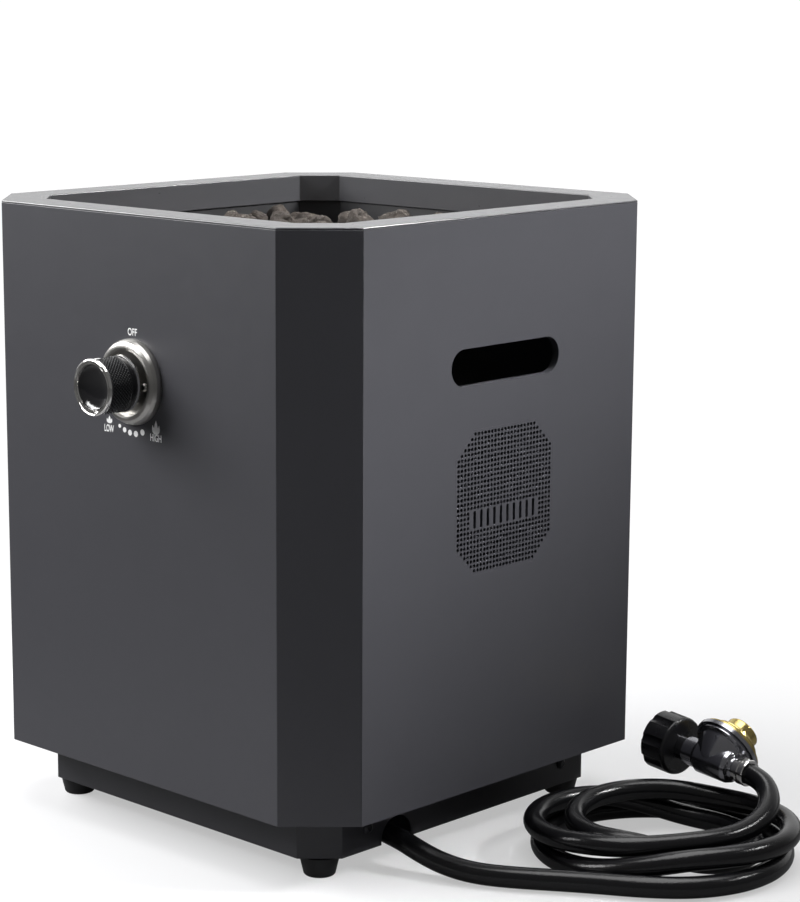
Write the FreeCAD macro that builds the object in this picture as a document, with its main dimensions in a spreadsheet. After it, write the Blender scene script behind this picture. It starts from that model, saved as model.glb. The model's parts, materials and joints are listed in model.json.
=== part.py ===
import FreeCAD, Part
import math
import os
import re
import Sketcher
from FreeCAD import Placement, Rotation, Vector

os.makedirs("parts", exist_ok=True)
doc = FreeCAD.newDocument("FirePit")

# Driving dimensions, in millimetres and degrees. Heights are above the surface that the feet stand on.
# The drawing is centred on the casing: the front face with the knob looks along -Y.
DIMENSIONS = [
    ("case_width", 385, "casing across its flat faces"),
    ("case_chamfer", 42.5, "leg of the casing's corner chamfer"),
    ("case_height", 427, "casing from its lower edge to the rim's top"),
    ("case_bottom", 52, "lower edge of the casing"),
    ("sheet", 1.5, "thickness of the steel sheet"),
    ("opening_width", 320, "clear width of the fire bowl's opening"),
    ("opening_chamfer", 24, "leg of the opening's corner chamfer"),
    ("collar_depth", 22, "turned-down edge of the rim"),
    ("bowl_depth", 58, "rim's top to the bowl's floor"),
    ("bowl_flange", 346, "width of the flange that hangs under the rim"),
    ("shield_drop", 20, "bowl floor to the underside of the heat shield"),
    ("shield_sheet", 1, "thickness of the heat shield"),
    ("base_width", 319.4, "plinth across its flat faces"),
    ("base_chamfer", 23.3, "leg of the plinth's corner chamfer"),
    ("base_bottom", 16.5, "lower edge of the plinth"),
    ("foot_reach", 137, "foot's centre from the middle, both ways"),
    ("foot_top_radius", 15.2, "foot where it is widest"),
    ("foot_low_radius", 11.9, "foot where it stands"),
    ("foot_height", 15.3, "rubber part of the foot"),
    ("notch_width", 33, "arch in the plinth that the hose comes out of"),
    ("notch_middle", -78.5, "middle of that arch, along Y"),
    ("notch_top", 36, "top of that arch"),
    ("wall_screw_reach", 110, "screws in the plinth's side, along Y"),
    ("wall_screw_height", 34, "their height"),
    ("slot_width", 119, "handle slot, end to end"),
    ("slot_height", 27.4, "handle slot, top to bottom"),
    ("slot_middle", 371, "height of the handle slot's middle"),
    ("lip_depth", 6, "folded lip behind the slot"),
    ("vent_middle", 270.5, "height of the vent's middle"),
    ("vent_pitch", 3.63, "spacing of the vent's round holes"),
    ("vent_hole", 2.7, "diameter of a vent hole"),
    ("vent_margin", 3.2, "plain edge round the vent's holes"),
    ("knob_height", 356, "height of the control knob's axis"),
    ("knob_radius", 20.75, "knurled grip"),
    ("knob_rear", 11.5, "knob's rear edge, out from the front face"),
    ("knob_front", 39.6, "knob's front edge, out from the front face"),
    ("knob_push", 4, "travel of the knob"),
    ("bezel_radius", 31.8, "bezel round the knob"),
    ("bezel_bore", 24.2, "bezel's inner wall"),
    ("bezel_height", 8.6, "bezel's crest, out from the front face"),
    ("stem_radius", 4, "valve stem"),
    ("valve_radius", 14, "valve body"),
    ("hose_width", 16, "outside diameter of the gas hose"),
    ("nut_radius", 23, "regulator's hand nut over its ribs"),
    ("nut_length", 24, "regulator's hand nut"),
    ("cover_radius", 27, "regulator's bonnet"),
]

sheet_object = doc.addObject("Spreadsheet::Sheet", "Sizes")
for row, (alias, value, meaning) in enumerate(DIMENSIONS, start=1):
    sheet_object.set("A%d" % row, meaning)
    sheet_object.set("B%d" % row, str(value))
    sheet_object.setAlias("B%d" % row, alias)
doc.recompute()

NAMES = re.compile(r"\b(" + "|".join(alias for alias, value, meaning in DIMENSIONS) + r")\b")
AXES = {
    "up": Rotation(),
    "down": Rotation(Vector(1, 0, 0), 180),
    "right": Rotation(Vector(0, 1, 0), 90),
    "left": Rotation(Vector(0, 1, 0), -90),
    "back": Rotation(Vector(1, 0, 0), -90),
    "front": Rotation(Vector(1, 0, 0), 90),
}
nodes = []


def size(alias):
    """A driving dimension as a number."""
    return float(getattr(sheet_object, alias))


def bind(obj, prop, formula):
    """Ties a property to a formula in the names of the driving dimensions."""
    obj.setExpression(prop, NAMES.sub(r"Sizes.\1", str(formula)))


def place(obj, x=0, y=0, z=0, axis="up"):
    """Turns the object's own Z along axis and puts its origin at x, y, z, which are formulas."""
    obj.Placement = Placement(Vector(), AXES[axis])
    for letter, formula in zip("xyz", (x, y, z)):
        bind(obj, "Placement.Base." + letter, formula)
    return obj


def node(name, obj):
    """Names a finished sub-part."""
    obj.Label = name
    nodes.append(obj)
    return obj


def block(name, x_size, y_size, z_size, x=0, y=0, z=0):
    """A box centred on x and y, standing on z."""
    box = doc.addObject("Part::Box", name)
    for prop, formula in (("Length", x_size), ("Width", y_size), ("Height", z_size)):
        bind(box, prop, formula)
    return place(box, "(%s) - (%s) / 2" % (x, x_size), "(%s) - (%s) / 2" % (y, y_size), z)


def rod(name, radius, length, x=0, y=0, z=0, axis="up"):
    """A cylinder from x, y, z along axis."""
    cylinder = doc.addObject("Part::Cylinder", name)
    bind(cylinder, "Radius", radius)
    bind(cylinder, "Height", length)
    return place(cylinder, x, y, z, axis)


def hexagon(name, radius, length, x=0, y=0, z=0, axis="up"):
    """A six-sided prism, radius to its corners."""
    prism = doc.addObject("Part::Prism", name)
    prism.Polygon = 6
    bind(prism, "Circumradius", radius)
    bind(prism, "Height", length)
    return place(prism, x, y, z, axis)


def cut(name, base, *tools):
    """The base less every tool."""
    result = doc.addObject("Part::Cut", name)
    result.Base = base
    result.Tool = tools[0] if len(tools) == 1 else fuse(name + "_tools", *tools)
    return result


def fuse(name, *pieces):
    """All pieces as one solid, or as one group where they lie apart."""
    result = doc.addObject("Part::MultiFuse", name)
    result.Shapes = list(pieces)
    return result


def common(name, first, second):
    """What two shapes share."""
    result = doc.addObject("Part::Common", name)
    result.Base = first
    result.Tool = second
    return result


def octagon(name, width, chamfer, height, z):
    """A square prism with chamfered corners: a square crossed with one turned by 45 degrees."""
    turned_side = "((%s) - (%s)) * sqrt(2)" % (width, chamfer)
    square = block(name + "_square", width, width, height, 0, 0, z)
    crossing = doc.addObject("Part::Box", name + "_turned")
    for prop, formula in (("Length", turned_side), ("Width", turned_side), ("Height", height)):
        bind(crossing, prop, formula)
    crossing.Placement = Placement(Vector(), Rotation(Vector(0, 0, 1), 45))
    bind(crossing, "Placement.Base.x", 0)
    bind(crossing, "Placement.Base.y", "-((%s) - (%s))" % (width, chamfer))
    bind(crossing, "Placement.Base.z", z)
    return common(name, square, crossing)


def octagon_ring(name, outer, outer_chamfer, inner, inner_chamfer, height, z):
    """An octagonal wall or plate round an octagonal opening."""
    return cut(
        name,
        octagon(name + "_outside", outer, outer_chamfer, height, z),
        octagon(name + "_inside", inner, inner_chamfer, height, z),
    )


def turned(name, profile, x=0, y=0, z=0, axis="up"):
    """A lathe-turned body. The profile's corners are (radius, height) formulas along axis."""
    body = doc.addObject("PartDesign::Body", name)
    sketch = body.newObject("Sketcher::SketchObject", name + "_profile")
    plane = [f for f in body.Origin.OriginFeatures if f.Role == "XZ_Plane"][0]
    sketch.AttachmentSupport = [(plane, "")]
    sketch.MapMode = "FlatFace"
    values = [[evaluate(formula) for formula in corner] for corner in profile]
    count = len(profile)
    for i in range(count):
        start, end = values[i], values[(i + 1) % count]
        sketch.addGeometry(Part.LineSegment(Vector(*start, 0), Vector(*end, 0)), False)
    for i in range(count):
        join(sketch, "Coincident", i, 2, (i + 1) % count, 1)
        for kind, formula, value, other in zip(("DistanceX", "DistanceY"), profile[i], values[i], (-2, -1)):
            if value == 0:
                join(sketch, "PointOnObject", i, 1, other)
            else:
                index = join(sketch, kind, -1, 1, i, 1, value)
                bind(sketch, "Constraints[%d]" % index, formula)
    revolution = body.newObject("PartDesign::Revolution", name + "_turning")
    revolution.Profile = sketch
    revolution.ReferenceAxis = (sketch, ["V_Axis"])
    revolution.Angle = 360
    return place(body, x, y, z, axis)


def join(sketch, kind, *values):
    """Adds a sketch constraint and returns its number."""
    return sketch.addConstraint(Sketcher.Constraint(kind, *values))


def evaluate(formula):
    """The present value of a formula in the driving dimensions."""
    text = NAMES.sub(lambda found: repr(size(found.group(1))), str(formula))
    numbers = doc.getObject("Scratch") or doc.addObject("App::FeaturePython", "Scratch")
    return float(numbers.evalExpression(text))


def ring_profile(inner, outer, low, high):
    """The profile of a plain washer or sleeve."""
    return [(inner, low), (outer, low), (outer, high), (inner, high)]


def shape_node(name, shape, position=Vector(), rotation=Rotation()):
    """A sub-part whose shape is made directly, for what the parametric features can't make."""
    feature = doc.addObject("Part::Feature", name)
    feature.Shape = shape
    feature.Placement = Placement(position, rotation)
    return node(name, feature)


# Casing: two wraps that carry the chamfered corners, two flat sides, the rim and the floor plate

INNER_WIDTH = "case_width - 2 * sheet"
INNER_CHAMFER = "case_chamfer - (2 - sqrt(2)) * sheet"
WALL_HEIGHT = "case_height - sheet"
FLAT = "case_width - 2 * case_chamfer"
FRONT_FACE = "-case_width / 2"


def make_wraps():
    """Front and rear faces, each in one sheet with its two chamfered corners."""
    for name, side in (("front_wrap", -1), ("rear_wrap", 1)):
        wall = octagon_ring(
            name + "_wall", "case_width", "case_chamfer", INNER_WIDTH, INNER_CHAMFER, WALL_HEIGHT, "case_bottom"
        )
        half = block(
            name + "_half",
            "case_width",
            "case_chamfer",
            WALL_HEIGHT,
            0,
            "%d * (case_width / 2 - case_chamfer / 2)" % side,
            "case_bottom",
        )
        wrap = common(name + "_sheet", wall, half)
        if side < 0:
            neck_hole = rod("neck_hole", 8, 10, 0, "%s - 2" % FRONT_FACE, "knob_height", "back")
            screw_holes = [
                rod("bezel_hole", 1.8, 10, x, "%s - 2" % FRONT_FACE, z, "back") for x, z in bezel_screw_places()
            ]
            wrap = cut(name + "_drilled", wrap, neck_hole, *screw_holes)
        node(name, wrap)


def slot_shape(name, width, height, depth, x):
    """A round-ended slot through a side face, along X from x."""
    straight = block(name + "_middle", depth, "(%s) - (%s)" % (width, height), height,
                     "(%s) + (%s) / 2" % (x, depth),
                     0, "slot_middle - (%s) / 2" % height)
    ends = [
        rod(name + "_end", "(%s) / 2" % height, depth, x, "%d * ((%s) - (%s)) / 2" % (side, width, height),
            "slot_middle", "right")
        for side in (-1, 1)
    ]
    return fuse(name, straight, *ends)


VENT_COLUMNS = 29
VENT_STEPS = 5


def vent_outline(margin):
    """Corners of the vent's outline, a square with cut corners, in its own plane."""
    reach = (VENT_COLUMNS - 1) / 2 * size("vent_pitch") + margin
    corner = VENT_STEPS * size("vent_pitch") + margin * (2 - math.sqrt(2))
    near = reach - corner
    loop = [(-near, -reach), (near, -reach), (reach, -near), (reach, near)]
    loop += [(near, reach), (-near, reach), (-reach, near), (-reach, -near)]
    return [Vector(0, y, z) for y, z in loop]


def make_sides():
    """Flat side sheets with the handle slot, its folded lip and the window that the vent fills."""
    for name, side in (("right_side", 1), ("left_side", -1)):
        outer_x = "%d * case_width / 2 - %g * sheet" % (side, (side + 1) / 2)
        sheet_plate = block(
            name + "_plate", "sheet", FLAT, WALL_HEIGHT,
            "%d * (case_width / 2 - sheet / 2)" % side, 0, "case_bottom"
        )
        lip_x = "%d * case_width / 2 - %g * lip_depth" % (side, (side + 1) / 2)
        lip = slot_shape(name + "_lip", "slot_width + 2 * sheet", "slot_height + 2 * sheet", "lip_depth", lip_x)
        slot = slot_shape(name + "_slot", "slot_width", "slot_height", "lip_depth + 2", "(%s) - 1" % lip_x)
        window = doc.addObject("Part::Feature", name + "_window")
        outline = vent_outline(size("vent_margin"))
        face = Part.Face(Part.makePolygon(outline + outline[:1]))
        window.Shape = face.extrude(Vector(size("sheet"), 0, 0))
        place(window, outer_x, 0, "vent_middle")
        node(name, cut(name + "_pierced", fuse(name + "_lipped", sheet_plate, lip), slot, window))
        make_vent(name.replace("side", "vent"), outer_x)


def make_vent(name, outer_x):
    """The vent field: round holes on a square grid with stepped corners, and upright slots in a plain band."""
    pitch, radius = size("vent_pitch"), size("vent_hole") / 2
    middle = (VENT_COLUMNS - 1) / 2
    band_rows = range(9, 13)
    band_columns = range(4, 25)
    outline = vent_outline(size("vent_margin"))
    wires = [Part.makePolygon(outline + outline[:1])]
    for row in range(VENT_COLUMNS):
        for column in range(VENT_COLUMNS):
            from_corner = min(column, VENT_COLUMNS - 1 - column) + min(row, VENT_COLUMNS - 1 - row)
            if from_corner < VENT_STEPS or (row in band_rows and column in band_columns):
                continue
            centre = Vector(0, (column - middle) * pitch, (row - middle) * pitch)
            wires.append(Part.Wire(Part.Circle(centre, Vector(1, 0, 0), radius).toShape()))
    slot_low = (band_rows[0] - middle) * pitch
    slot_high = (band_rows[-1] - middle) * pitch
    for column in band_columns[1:-1:2]:
        wires.append(upright_slot((column - middle) * pitch, slot_low, slot_high, radius))
    face = Part.Face(wires[0])
    face = face.cut(Part.makeCompound([Part.Face(wire) for wire in wires[1:]])).Faces[0]
    vent = doc.addObject("Part::Feature", name)
    vent.Shape = face.extrude(Vector(size("sheet"), 0, 0))
    place(vent, outer_x, 0, "vent_middle")
    node(name, vent)


def upright_slot(y, low, high, radius):
    """A round-ended upright slot in the vent's plane, as a wire."""
    corners = [Vector(0, y - radius, low), Vector(0, y + radius, low)]
    corners += [Vector(0, y + radius, high), Vector(0, y - radius, high)]
    bottom = Part.Arc(corners[0], Vector(0, y, low - radius), corners[1])
    top = Part.Arc(corners[2], Vector(0, y, high + radius), corners[3])
    right = Part.LineSegment(corners[1], corners[2])
    left = Part.LineSegment(corners[3], corners[0])
    return Part.Wire([bottom.toShape(), right.toShape(), top.toShape(), left.toShape()])


def make_rim():
    """The flat rim and its collar, turned down round the opening."""
    plate = octagon_ring(
        "rim_plate", "case_width", "case_chamfer", "opening_width", "opening_chamfer", "sheet",
        "case_bottom + case_height - sheet",
    )
    collar = octagon_ring(
        "rim_collar", "opening_width + 2 * sheet", "opening_chamfer + (2 - sqrt(2)) * sheet",
        "opening_width", "opening_chamfer", "collar_depth", "case_bottom + case_height - collar_depth",
    )
    node("top_rim", fuse("rim_welded", plate, collar))


def make_floor_plate():
    """The flange that closes the foot of the casing and rests on the plinth."""
    node("floor_flange", octagon_ring(
        "floor_ring", "case_width - 2 * sheet - 0.4", "case_chamfer", 280, 20, "sheet", "case_bottom"
    ))


# Plinth, its bottom plate, feet and screws

SKIRT_INNER = "base_width - 2 * sheet"
SKIRT_INNER_CHAMFER = "base_chamfer - (2 - sqrt(2)) * sheet"


def make_plinth():
    """The skirt with its turned-in top flange and the arch for the hose, and the bottom plate with its tabs."""
    wall = octagon_ring(
        "skirt_wall", "base_width", "base_chamfer", SKIRT_INNER, SKIRT_INNER_CHAMFER,
        "case_bottom - base_bottom", "base_bottom",
    )
    flange = octagon_ring(
        "skirt_flange", "base_width", "base_chamfer", "base_width - 30", "base_chamfer",
        "sheet", "case_bottom - sheet"
    )
    arch_top = "notch_top - notch_width / 2"
    arch = fuse(
        "hose_arch",
        rod("arch_round", "notch_width / 2", 12, "base_width / 2 - 8", "notch_middle", arch_top, "right"),
        block("arch_straight", 12, "notch_width", "(%s) - base_bottom + 2" % arch_top, "base_width / 2 - 2",
              "notch_middle", "base_bottom - 2"),
    )
    drilled = [
        rod("wall_hole", 2.2, 10, "%d * base_width / 2 - 5" % side, "%d * wall_screw_reach" % along,
            "wall_screw_height", "right")
        for side in (-1, 1) for along in (-1, 1)
    ]
    node("base_skirt", cut("skirt_cut", fuse("skirt_welded", wall, flange), arch, *drilled))

    plate = octagon("bottom_blank", SKIRT_INNER + " - 0.4", SKIRT_INNER_CHAMFER, "sheet", "base_bottom")
    tabs, holes = [], []
    for side in (-1, 1):
        for along in (-1, 1):
            tab_x = "%d * (base_width / 2 - sheet - 0.2 - sheet / 2)" % side
            tab_y = "%d * wall_screw_reach" % along
            tabs.append(block("bottom_tab", "sheet", 18, "wall_screw_height + 8 - base_bottom", tab_x, tab_y,
                              "base_bottom"))
            holes.append(rod("tab_hole", 2.2, 10, "%d * base_width / 2 - 5" % side, tab_y, "wall_screw_height",
                             "right"))
            holes.append(rod("foot_hole", 2.7, 10, "%d * foot_reach" % side, "%d * foot_reach" % along,
                             "base_bottom - 3"))
    holes.append(rod("air_hole", 60, 10, 0, 0, "base_bottom - 3"))
    mouth = block("hose_mouth", 34, "notch_width", 10, "base_width / 2 - 17", "notch_middle", "base_bottom - 3")
    bolt_x, bolt_y = clip_bolt_place()
    holes.append(rod("clip_hole", 2.2, 10, bolt_x, bolt_y, "base_bottom - 3"))
    node("bottom_plate", cut("bottom_cut", fuse("bottom_bent", plate, *tabs), mouth, *holes))


def make_feet():
    """Four tapered rubber feet, a screw and nut through each, and the screws in the plinth's sides."""
    screws = []
    for word_y, along in (("front", -1), ("rear", 1)):
        for word_x, side in (("left", -1), ("right", 1)):
            x, y = "%d * foot_reach" % side, "%d * foot_reach" % along
            profile = [
                (2.7, 5), (6, 5), (6, 0), ("foot_low_radius - 1", 0), ("foot_low_radius", 1.2),
                ("foot_top_radius", "foot_height"), (11, "foot_height"), (11, "base_bottom"), (2.7, "base_bottom"),
            ]
            node("foot_%s_%s" % (word_y, word_x), turned("foot", profile, x, y, 0))
            shank = [
                (0, 1.6), (5.2, 1.6), (5.2, 4.9), (2.5, 4.9),
                (2.5, "base_bottom + sheet"), (4.6, "base_bottom + sheet"),
                (4.6, "base_bottom + sheet + 4"), (2.5, "base_bottom + sheet + 4"),
                (2.5, "base_bottom + sheet + 7"), (0, "base_bottom + sheet + 7"),
            ]
            screws.append(turned("foot_screw", shank, x, y, 0))
    node("foot_screws", fuse("foot_screw_group", *screws))

    wall_screws = []
    for side, axis in ((-1, "right"), (1, "left")):
        for along in (-1, 1):
            profile = [
                (0, -2.6), (2.4, -2.6), (4.4, -1.2), (4.4, 0), (2, 0), (2, 9), (0, 9),
            ]
            wall_screws.append(turned("wall_screw", profile, "%d * base_width / 2" % side,
                                      "%d * wall_screw_reach" % along, "wall_screw_height", axis))
    node("wall_screws", fuse("wall_screw_group", *wall_screws))


# Fire bowl, burner and what feeds it

BOWL_FLOOR = "case_bottom + case_height - bowl_depth"
BOWL_INNER = "opening_width + 2 * sheet + 0.4"
BOWL_CHAMFER = "opening_chamfer + (2 - sqrt(2)) * sheet"
BURNER_RADIUS = 75
BURNER_TUBE = 7
PORT_COUNT = 24


def make_bowl():
    """The bowl hangs under the rim by its flange, and the heat shield hangs under the bowl on four bolts."""
    wall = octagon_ring(
        "bowl_wall", BOWL_INNER + " + 2 * sheet", BOWL_CHAMFER + " + (2 - sqrt(2)) * sheet", BOWL_INNER,
        BOWL_CHAMFER, "bowl_depth - sheet", BOWL_FLOOR,
    )
    flange = octagon_ring(
        "bowl_flange_ring", "bowl_flange", "opening_chamfer", BOWL_INNER, BOWL_CHAMFER, "sheet",
        "case_bottom + case_height - 2 * sheet",
    )
    floor = octagon("bowl_floor", BOWL_INNER + " + 2 * sheet", BOWL_CHAMFER, "sheet", BOWL_FLOOR + " - sheet")
    holes = [rod("burner_hole", 11, 10, 0, 0, BOWL_FLOOR + " - 5")]
    holes += [rod("drain_hole", 5, 10, x, y, BOWL_FLOOR + " - 5") for x, y in corner_places(120)]
    holes += [rod("bolt_hole", 2.2, 10, x, y, BOWL_FLOOR + " - 5") for x, y in corner_places(66)]
    node("fire_bowl", cut("bowl_pierced", fuse("bowl_welded", wall, flange, floor), *holes))

    shield = octagon("shield_blank", 290, 24, "shield_sheet", BOWL_FLOOR + " - shield_drop")
    shield_holes = [rod("shield_hole", 16, 10, 0, 0, BOWL_FLOOR + " - shield_drop - 5")]
    bolts = []
    for x, y in corner_places(66):
        shield_holes.append(rod("shield_bolt_hole", 2.2, 10, x, y, BOWL_FLOOR + " - shield_drop - 5"))
        profile = [
            (0, -3), (4, -3), (4, 0), (2, 0), (2, "shield_sheet"), (4, "shield_sheet"),
            (4, "shield_drop - sheet"), (2, "shield_drop - sheet"), (2, "shield_drop"), (4, "shield_drop"),
            (4, "shield_drop + 3"), (0, "shield_drop + 3"),
        ]
        bolts.append(turned("shield_bolt", profile, x, y, BOWL_FLOOR + " - shield_drop"))
    node("heat_shield", cut("shield_pierced", shield, *shield_holes))
    node("shield_bolts", fuse("shield_bolt_group", *bolts))


def corner_places(reach):
    """The four places at reach from the middle, both ways."""
    return [(side * reach, along * reach) for side in (-1, 1) for along in (-1, 1)]


def make_burner():
    """A ring burner on four arms, its feed pipe through the bowl's floor, a lock nut, the air mixer and the jet."""
    middle = BOWL_FLOOR + " + 10"
    ring = doc.addObject("Part::Torus", "burner_ring")
    bind(ring, "Radius1", BURNER_RADIUS)
    bind(ring, "Radius2", BURNER_TUBE)
    place(ring, 0, 0, middle)
    arms = [
        rod("burner_arm_x", 5, 2 * BURNER_RADIUS, -BURNER_RADIUS, 0, middle, "right"),
        rod("burner_arm_y", 5, 2 * BURNER_RADIUS, 0, -BURNER_RADIUS, middle, "back"),
    ]
    hub = turned("burner_hub", [(0, 0), (20, 0), (20, 14), (16, 18), (0, 18)], 0, 0, BOWL_FLOOR)
    ports = []
    for number in range(PORT_COUNT):
        angle = 2 * math.pi * (number + 0.5) / PORT_COUNT
        ports.append(rod("port", 1.2, 8, "%g" % (BURNER_RADIUS * math.cos(angle)),
                         "%g" % (BURNER_RADIUS * math.sin(angle)), middle + " + 2"))
    node("burner", cut("burner_drilled", fuse("burner_welded", ring, hub, *arms), *ports))

    pipe_drop = 34
    node("burner_pipe", turned("burner_pipe_body", ring_profile(7, 9.5, -pipe_drop, -0.01), 0, 0, BOWL_FLOOR))
    lock = hexagon("lock_hexagon", 15, 6, 0, 0, BOWL_FLOOR + " - sheet - 6")
    lock_hole = rod("lock_bore", 9.5, 10, 0, 0, BOWL_FLOOR + " - sheet - 8")
    node("burner_nut", cut("lock_nut", lock, lock_hole))

    mixer_z = BOWL_FLOOR + " - %d - 12" % pipe_drop
    outside = fuse(
        "mixer_outside",
        rod("mixer_barrel", 12, 92, 0, -80, mixer_z, "back"),
        rod("mixer_riser", 13, 16, 0, 0, BOWL_FLOOR + " - %d - 8" % pipe_drop),
    )
    hollow = fuse(
        "mixer_hollow",
        rod("mixer_bore", 9.5, 81, 0, -77, mixer_z, "back"),
        rod("jet_seat", 4.05, 6, 0, -82, mixer_z, "back"),
        rod("mixer_throat", 9.55, 30, 0, 0, BOWL_FLOOR + " - %d - 8" % pipe_drop),
    )
    windows = [block("air_window", 30, 14, 8, 0, -66, mixer_z + " - 4")]
    node("air_mixer", cut("mixer_cast", outside, hollow, *windows))
    jet = [(0.6, 0), (4, 0), (4, 10), (9, 10), (9, 16), (4.2, 16), (4.2, 26), (0.6, 26)]
    node("gas_jet", turned("gas_jet_body", jet, 0, -70, mixer_z, "front"))
    return mixer_z


# Lava rock: one bed of broken stone on the bowl's floor

ROCK_ROWS = 7
ROCK_PITCH = 44.5
ROCK_REACH = 23.5


def rock(centre, reach, seed):
    """One lump: an icosahedron whose corners are pushed in and out by a fixed pattern."""
    golden = (1 + math.sqrt(5)) / 2
    corners = []
    for a in (-1, 1):
        for b in (-golden, golden):
            corners += [(0, a, b), (a, b, 0), (b, 0, a)]
    points = []
    for number, corner in enumerate(corners):
        swell = 0.86 + 0.14 * math.sin(12.9898 * (seed * 12 + number + 1))
        unit = Vector(*corner).normalize()
        flat = Vector(unit.x, unit.y, unit.z * 0.82)
        points.append(centre + flat * reach * swell)
    faces = []
    for i in range(12):
        for j in range(i + 1, 12):
            for k in range(j + 1, 12):
                pairs = ((i, j), (j, k), (i, k))
                sides = [(Vector(*corners[p]) - Vector(*corners[q])).Length for p, q in pairs]
                if max(sides) < 2.1:
                    triangle = [points[i], points[j], points[k], points[i]]
                    faces.append(Part.Face(Part.makePolygon(triangle)))
    return Part.makeSolid(Part.makeShell(faces))


def make_rocks():
    """Stones on a square grid, smaller and higher where they lie over the burner's ring."""
    floor = size("case_bottom") + size("case_height") - size("bowl_depth")
    stones = []
    for row in range(ROCK_ROWS):
        for column in range(ROCK_ROWS):
            x = (column - (ROCK_ROWS - 1) / 2) * ROCK_PITCH
            y = (row - (ROCK_ROWS - 1) / 2) * ROCK_PITCH
            seed = row * ROCK_ROWS + column
            reach = ROCK_REACH * (0.9 + 0.1 * math.sin(7.3 * seed))
            over_burner = math.hypot(x, y) < BURNER_RADIUS + BURNER_TUBE + reach
            if abs(x) + abs(y) > size("opening_width") - size("opening_chamfer") - 1.5 * reach:
                continue
            if over_burner:
                reach *= 0.62
            lift = 2 * BURNER_TUBE + 6 if over_burner else 0
            stones.append(rock(Vector(x, y, floor + lift + reach * 0.84), reach, seed))
    shape_node("lava_rocks", Part.makeCompound(stones))


# Control: valve behind the front sheet, and bezel and knob before it

BEZEL_SCREW_REACH = 15.6
NECK_RADIUS = 7.5


def bezel_screw_places():
    """The two screws in the bezel's channel, a little below three o'clock and above nine."""
    lean = math.radians(-8)
    places = []
    for side in (1, -1):
        x = side * BEZEL_SCREW_REACH * math.cos(lean)
        z = side * BEZEL_SCREW_REACH * math.sin(lean)
        places.append(("%g" % x, "knob_height + (%g)" % z))
    return places


def at_panel(name, profile):
    """Turned on the knob's axis, with heights counted out from the front face."""
    return turned(name, profile, 0, FRONT_FACE, "knob_height", "front")


def make_valve():
    """Valve body with its neck, the bracket, the neck's nut, the stem, and the spring and push washer inside."""
    casing = at_panel("valve_casing", [
        (0, -42), ("valve_radius - 3", -42), ("valve_radius", -39), ("valve_radius", -3.5), (NECK_RADIUS, -3.5),
        (NECK_RADIUS, 7), ("stem_radius + 0.06", 7), ("stem_radius + 0.06", -10), (8.6, -10), (8.6, -30), (0, -30),
    ])
    inlet_boss = rod("valve_inlet_boss", 8, 20, 0, "%s + 20" % FRONT_FACE, "knob_height", "down")
    hollow = at_panel("valve_hollow", [(0, -30), (8.6, -30), (8.6, -10), (0, -10)])
    node("valve_body", cut("valve_bored", fuse("valve_cast", casing, inlet_boss), hollow))

    plate = block("bracket_plate", 64, 2, 52, 0, "%s + sheet + 1" % FRONT_FACE, "knob_height - 26")
    shelf = block("bracket_shelf", 64, 30, 2, 0, "%s + sheet + 15" % FRONT_FACE, "knob_height - 28")
    bracket_holes = [rod("bracket_hole", NECK_RADIUS + 0.1, 10, 0, FRONT_FACE, "knob_height", "back")]
    bracket_holes.append(rod("shelf_hole", 9, 10, 0, "%s + 20" % FRONT_FACE, "knob_height - 34"))
    bracket_holes += [rod("bracket_tap", 1.5, 10, x, FRONT_FACE, z, "back") for x, z in bezel_screw_places()]
    node("valve_bracket", cut("bracket_pierced", fuse("bracket_bent", plate, shelf), *bracket_holes))

    nut = hexagon("neck_hexagon", 11.5, 4, 0, "%s - 2" % FRONT_FACE, "knob_height", "front")
    nut_hole = rod("neck_bore", NECK_RADIUS + 0.05, 8, 0, FRONT_FACE, "knob_height", "front")
    node("neck_nut", cut("neck_nut_cut", nut, nut_hole))

    node("push_washer", at_panel("washer_body", ring_profile("stem_radius + 0.06", 8.2, -13.5, -12)))
    node("return_spring", at_panel("spring_body", ring_profile(5, 7.6, -29.9, -13.6)))
    round_stem = at_panel("stem_round", [
        (0, -22), ("stem_radius", -22), ("stem_radius", "knob_front - 8"), (0, "knob_front - 8"),
    ])
    flat = block("stem_flat", 12, 18, 4, 0, "%s - knob_front + 17" % FRONT_FACE, "knob_height + stem_radius - 1.5")
    node("valve_stem", cut("stem_milled", round_stem, flat))


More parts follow.
